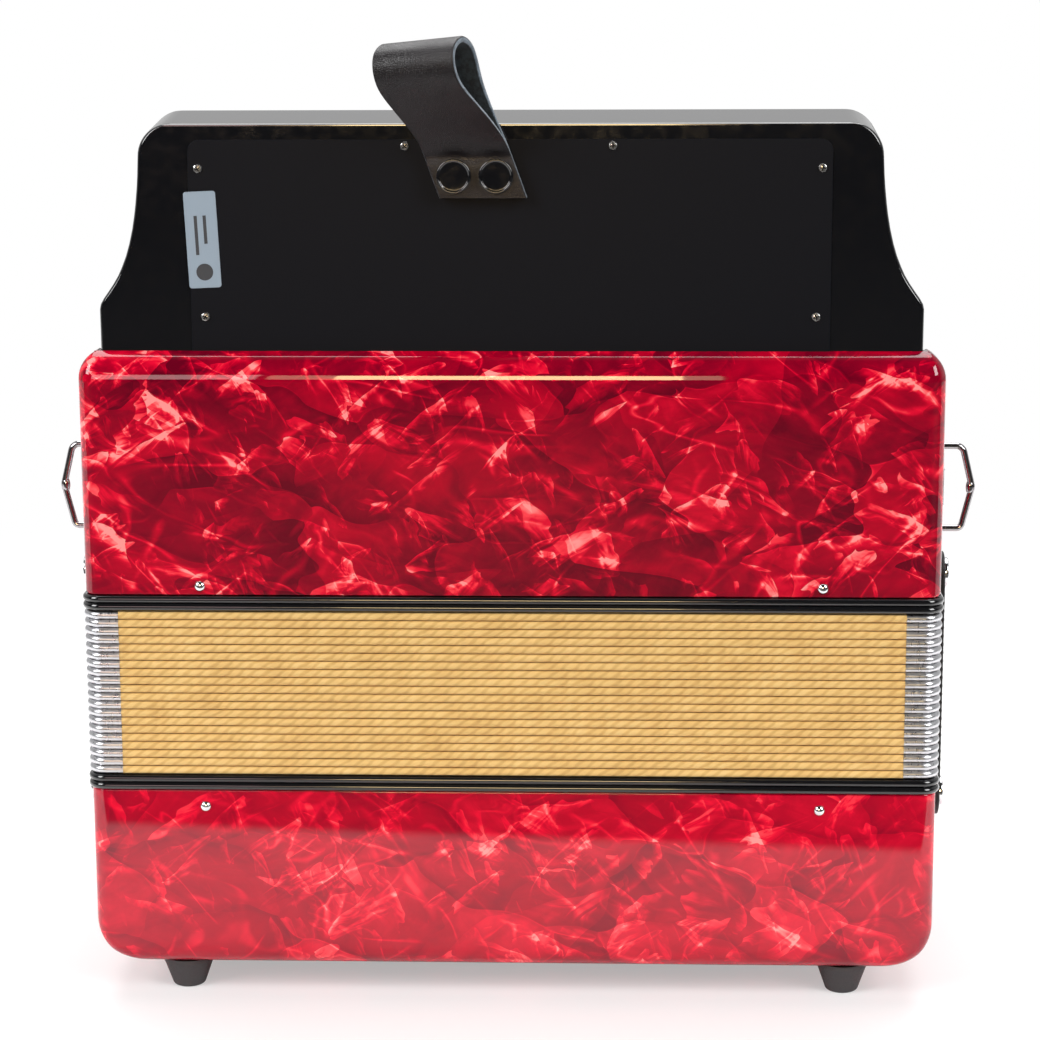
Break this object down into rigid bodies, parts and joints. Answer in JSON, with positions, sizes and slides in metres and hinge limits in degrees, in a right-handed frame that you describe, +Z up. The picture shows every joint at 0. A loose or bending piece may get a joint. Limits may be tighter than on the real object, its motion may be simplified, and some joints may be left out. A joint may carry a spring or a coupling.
{
  "type": "diatonic button accordion",
  "caption": "Small button accordion standing on its bass end: pearloid casings, pleated bellows, fingerboard with button rows, thumb strap and strap rings.",
  "frame": {"origin": "middle of the whole instrument's footprint, on the floor its feet stand on", "axes": "+Z up, through the bellows from the bass end to the treble end; -Y towards the player's side, which carries the thumb strap; +X along the casings"},
  "size_m": [0.352, 0.211, 0.363],
  "materials": {
    "red_pearloid": "deep crimson pearl celluloid with crumpled pink flakes under a high gloss",
    "black_gloss": "polished black celluloid",
    "black_satin": "satin black plate",
    "gold_cloth": "gold cord-weave cloth over pleated card",
    "chrome": "bright plated",
    "black_leather": "smooth grain outside, suede inside",
    "rubber": "matt moulded",
    "wood": "sealed spruce and maple",
    "steel": "drawn rod",
    "button_white": "pearly white button"
  },
  "bodies": {
    "bass": {"bass_casing": "red_pearloid", "bass_end_plate": "black_satin", "bass_reed_block": "wood", "hand_strap": "black_leather", "hand_strap_clamp_left": "chrome", "hand_strap_clamp_right": "chrome", "foot_back_left": "rubber", "foot_back_right": "rubber", "foot_front_left": "rubber", "foot_front_right": "rubber", "bass_bellows_frame": "black_gloss"},
    "treble": {"treble_casing": "red_pearloid", "treble_bellows_frame": "black_gloss", "treble_soundboard": "wood", "treble_reed_block_outer": "wood", "treble_reed_block_inner": "wood", "fingerboard": "black_gloss", "fingerboard_back_plate": "black_satin", "key_axle": "steel", "grille": "chrome", "thumb_strap": "black_leather", "thumb_strap_snap_left": "black_gloss", "thumb_strap_snap_right": "black_gloss", "strap_bracket_left": "chrome", "strap_bracket_right": "chrome", "bellows": "gold_cloth"},
    "key_outer_1": {"key_outer_1": "button_white"},
    "key_outer_2": {"key_outer_2": "button_white"},
    "key_outer_3": {"key_outer_3": "button_white"},
    "key_outer_4": {"key_outer_4": "button_white"},
    "key_outer_5": {"key_outer_5": "button_white"},
    "key_outer_6": {"key_outer_6": "button_white"},
    "key_outer_7": {"key_outer_7": "button_white"},
    "key_outer_8": {"key_outer_8": "button_white"},
    "key_outer_9": {"key_outer_9": "button_white"},
    "key_outer_10": {"key_outer_10": "button_white"},
    "key_outer_11": {"key_outer_11": "button_white"},
    "key_inner_1": {"key_inner_1": "button_white"},
    "key_inner_2": {"key_inner_2": "button_white"},
    "key_inner_3": {"key_inner_3": "button_white"},
    "key_inner_4": {"key_inner_4": "button_white"},
    "key_inner_5": {"key_inner_5": "button_white"},
    "key_inner_6": {"key_inner_6": "button_white"},
    "key_inner_7": {"key_inner_7": "button_white"},
    "key_inner_8": {"key_inner_8": "button_white"},
    "key_inner_9": {"key_inner_9": "button_white"},
    "key_inner_10": {"key_inner_10": "button_white"},
    "air_button": {"air_button": "button_white"},
    "bass_button_1": {"bass_button_1": "button_white"},
    "bass_button_2": {"bass_button_2": "button_white"},
    "bass_button_3": {"bass_button_3": "button_white"},
    "bass_button_4": {"bass_button_4": "button_white"},
    "bass_button_5": {"bass_button_5": "button_white"},
    "bass_button_6": {"bass_button_6": "button_white"},
    "bass_button_7": {"bass_button_7": "button_white"},
    "bass_button_8": {"bass_button_8": "button_white"},
    "strap_ring_left": {"strap_ring_left": "chrome"},
    "bellows_strap_left": {"bellows_strap_left": "black_leather"},
    "strap_ring_right": {"strap_ring_right": "chrome"},
    "bellows_strap_right": {"bellows_strap_right": "black_leather"}
  },
  "joints": [
    {"name": "bellows_slide", "type": "slide", "parent": "bass", "child": "treble", "axis": [0, 0, 1], "range_m": [0, 0.24], "deforming": ["bellows"]},
    {"name": "strap_ring_left_hinge", "type": "hinge", "parent": "treble", "child": "strap_ring_left", "pos_m": [-0.1621, -0.03079, 0.19], "axis": [0, 0, 1], "range_deg": [-85, 85]},
    {"name": "bellows_strap_left_swivel", "type": "hinge", "parent": "treble", "child": "bellows_strap_left", "pos_m": [-0.1619, -0.04679, 0.1603], "axis": [1, 0, 0], "range_deg": [-90, 90]},
    {"name": "strap_ring_right_hinge", "type": "hinge", "parent": "treble", "child": "strap_ring_right", "pos_m": [0.1621, -0.03079, 0.19], "axis": [0, 0, 1], "range_deg": [-85, 85]},
    {"name": "bellows_strap_right_swivel", "type": "hinge", "parent": "treble", "child": "bellows_strap_right", "pos_m": [0.1619, -0.04679, 0.1603], "axis": [1, 0, 0], "range_deg": [-90, 90]},
    {"name": "air_button_press", "type": "slide", "parent": "bass", "child": "air_button", "axis": [0, -0.7071, 0.7071], "range_m": [0, 0.0052], "stiffness_N_per_m": 250, "springref_m": -0.005},
    {"name": "bass_button_8_press", "type": "slide", "parent": "bass", "child": "bass_button_8", "axis": [0, -0.7071, 0.7071], "range_m": [0, 0.0031], "stiffness_N_per_m": 250, "springref_m": -0.005},
    {"name": "bass_button_7_press", "type": "slide", "parent": "bass", "child": "bass_button_7", "axis": [0, -0.7071, 0.7071], "range_m": [0, 0.0031], "stiffness_N_per_m": 250, "springref_m": -0.005},
    {"name": "bass_button_6_press", "type": "slide", "parent": "bass", "child": "bass_button_6", "axis": [0, -0.7071, 0.7071], "range_m": [0, 0.0031], "stiffness_N_per_m": 250, "springref_m": -0.005},
    {"name": "bass_button_5_press", "type": "slide", "parent": "bass", "child": "bass_button_5", "axis": [0, -0.7071, 0.7071], "range_m": [0, 0.0031], "stiffness_N_per_m": 250, "springref_m": -0.005},
    {"name": "bass_button_4_press", "type": "slide", "parent": "bass", "child": "bass_button_4", "axis": [0, -0.7071, 0.7071], "range_m": [0, 0.0031], "stiffness_N_per_m": 250, "springref_m": -0.005},
    {"name": "bass_button_3_press", "type": "slide", "parent": "bass", "child": "bass_button_3", "axis": [0, -0.7071, 0.7071], "range_m": [0, 0.0031], "stiffness_N_per_m": 250, "springref_m": -0.005},
    {"name": "bass_button_2_press", "type": "slide", "parent": "bass", "child": "bass_button_2", "axis": [0, -0.7071, 0.7071], "range_m": [0, 0.0031], "stiffness_N_per_m": 250, "springref_m": -0.005},
    {"name": "bass_button_1_press", "type": "slide", "parent": "bass", "child": "bass_button_1", "axis": [0, -0.7071, 0.7071], "range_m": [0, 0.0031], "stiffness_N_per_m": 250, "springref_m": -0.005},
    {"name": "key_outer_1_press", "type": "hinge", "parent": "treble", "child": "key_outer_1", "pos_m": [0, -0.05679, 0.23], "axis": [1, 0, 0], "range_deg": [0, 2.5], "stiffness_Nm_per_rad": 0.2, "springref_deg": -20.05},
    {"name": "key_outer_2_press", "type": "hinge", "parent": "treble", "child": "key_outer_2", "pos_m": [0, -0.05679, 0.23], "axis": [1, 0, 0], "range_deg": [0, 2.5], "stiffness_Nm_per_rad": 0.2, "springref_deg": -20.05},
    {"name": "key_outer_3_press", "type": "hinge", "parent": "treble", "child": "key_outer_3", "pos_m": [0, -0.05679, 0.23], "axis": [1, 0, 0], "range_deg": [0, 2.5], "stiffness_Nm_per_rad": 0.2, "springref_deg": -20.05},
    {"name": "key_outer_4_press", "type": "hinge", "parent": "treble", "child": "key_outer_4", "pos_m": [0, -0.05679, 0.23], "axis": [1, 0, 0], "range_deg": [0, 2.5], "stiffness_Nm_per_rad": 0.2, "springref_deg": -20.05},
    {"name": "key_outer_5_press", "type": "hinge", "parent": "treble", "child": "key_outer_5", "pos_m": [0, -0.05679, 0.23], "axis": [1, 0, 0], "range_deg": [0, 2.5], "stiffness_Nm_per_rad": 0.2, "springref_deg": -20.05},
    {"name": "key_outer_6_press", "type": "hinge", "parent": "treble", "child": "key_outer_6", "pos_m": [0, -0.05679, 0.23], "axis": [1, 0, 0], "range_deg": [0, 2.5], "stiffness_Nm_per_rad": 0.2, "springref_deg": -20.05},
    {"name": "key_outer_7_press", "type": "hinge", "parent": "treble", "child": "key_outer_7", "pos_m": [0, -0.05679, 0.23], "axis": [1, 0, 0], "range_deg": [0, 2.5], "stiffness_Nm_per_rad": 0.2, "springref_deg": -20.05},
    {"name": "key_outer_8_press", "type": "hinge", "parent": "treble", "child": "key_outer_8", "pos_m": [0, -0.05679, 0.23], "axis": [1, 0, 0], "range_deg": [0, 2.5], "stiffness_Nm_per_rad": 0.2, "springref_deg": -20.05},
    {"name": "key_outer_9_press", "type": "hinge", "parent": "treble", "child": "key_outer_9", "pos_m": [0, -0.05679, 0.23], "axis": [1, 0, 0], "range_deg": [0, 2.5], "stiffness_Nm_per_rad": 0.2, "springref_deg": -20.05},
    {"name": "key_outer_10_press", "type": "hinge", "parent": "treble", "child": "key_outer_10", "pos_m": [0, -0.05679, 0.23], "axis": [1, 0, 0], "range_deg": [0, 2.5], "stiffness_Nm_per_rad": 0.2, "springref_deg": -20.05},
    {"name": "key_outer_11_press", "type": "hinge", "parent": "treble", "child": "key_outer_11", "pos_m": [0, -0.05679, 0.23], "axis": [1, 0, 0], "range_deg": [0, 2.5], "stiffness_Nm_per_rad": 0.2, "springref_deg": -20.05},
    {"name": "key_inner_1_press", "type": "hinge", "parent": "treble", "child": "key_inner_1", "pos_m": [0, -0.05679, 0.23], "axis": [1, 0, 0], "range_deg": [0, 3.2], "stiffness_Nm_per_rad": 0.2, "springref_deg": -20.05},
    {"name": "key_inner_2_press", "type": "hinge", "parent": "treble", "child": "key_inner_2", "pos_m": [0, -0.05679, 0.23], "axis": [1, 0, 0], "range_deg": [0, 3.2], "stiffness_Nm_per_rad": 0.2, "springref_deg": -20.05},
    {"name": "key_inner_3_press", "type": "hinge", "parent": "treble", "child": "key_inner_3", "pos_m": [0, -0.05679, 0.23], "axis": [1, 0, 0], "range_deg": [0, 3.2], "stiffness_Nm_per_rad": 0.2, "springref_deg": -20.05},
    {"name": "key_inner_4_press", "type": "hinge", "parent": "treble", "child": "key_inner_4", "pos_m": [0, -0.05679, 0.23], "axis": [1, 0, 0], "range_deg": [0, 3.2], "stiffness_Nm_per_rad": 0.2, "springref_deg": -20.05},
    {"name": "key_inner_5_press", "type": "hinge", "parent": "treble", "child": "key_inner_5", "pos_m": [0, -0.05679, 0.23], "axis": [1, 0, 0], "range_deg": [0, 3.2], "stiffness_Nm_per_rad": 0.2, "springref_deg": -20.05},
    {"name": "key_inner_6_press", "type": "hinge", "parent": "treble", "child": "key_inner_6", "pos_m": [0, -0.05679, 0.23], "axis": [1, 0, 0], "range_deg": [0, 3.2], "stiffness_Nm_per_rad": 0.2, "springref_deg": -20.05},
    {"name": "key_inner_7_press", "type": "hinge", "parent": "treble", "child": "key_inner_7", "pos_m": [0, -0.05679, 0.23], "axis": [1, 0, 0], "range_deg": [0, 3.2], "stiffness_Nm_per_rad": 0.2, "springref_deg": -20.05},
    {"name": "key_inner_8_press", "type": "hinge", "parent": "treble", "child": "key_inner_8", "pos_m": [0, -0.05679, 0.23], "axis": [1, 0, 0], "range_deg": [0, 3.2], "stiffness_Nm_per_rad": 0.2, "springref_deg": -20.05},
    {"name": "key_inner_9_press", "type": "hinge", "parent": "treble", "child": "key_inner_9", "pos_m": [0, -0.05679, 0.23], "axis": [1, 0, 0], "range_deg": [0, 3.2], "stiffness_Nm_per_rad": 0.2, "springref_deg": -20.05},
    {"name": "key_inner_10_press", "type": "hinge", "parent": "treble", "child": "key_inner_10", "pos_m": [0, -0.05679, 0.23], "axis": [1, 0, 0], "range_deg": [0, 3.2], "stiffness_Nm_per_rad": 0.2, "springref_deg": -20.05}
  ]
}
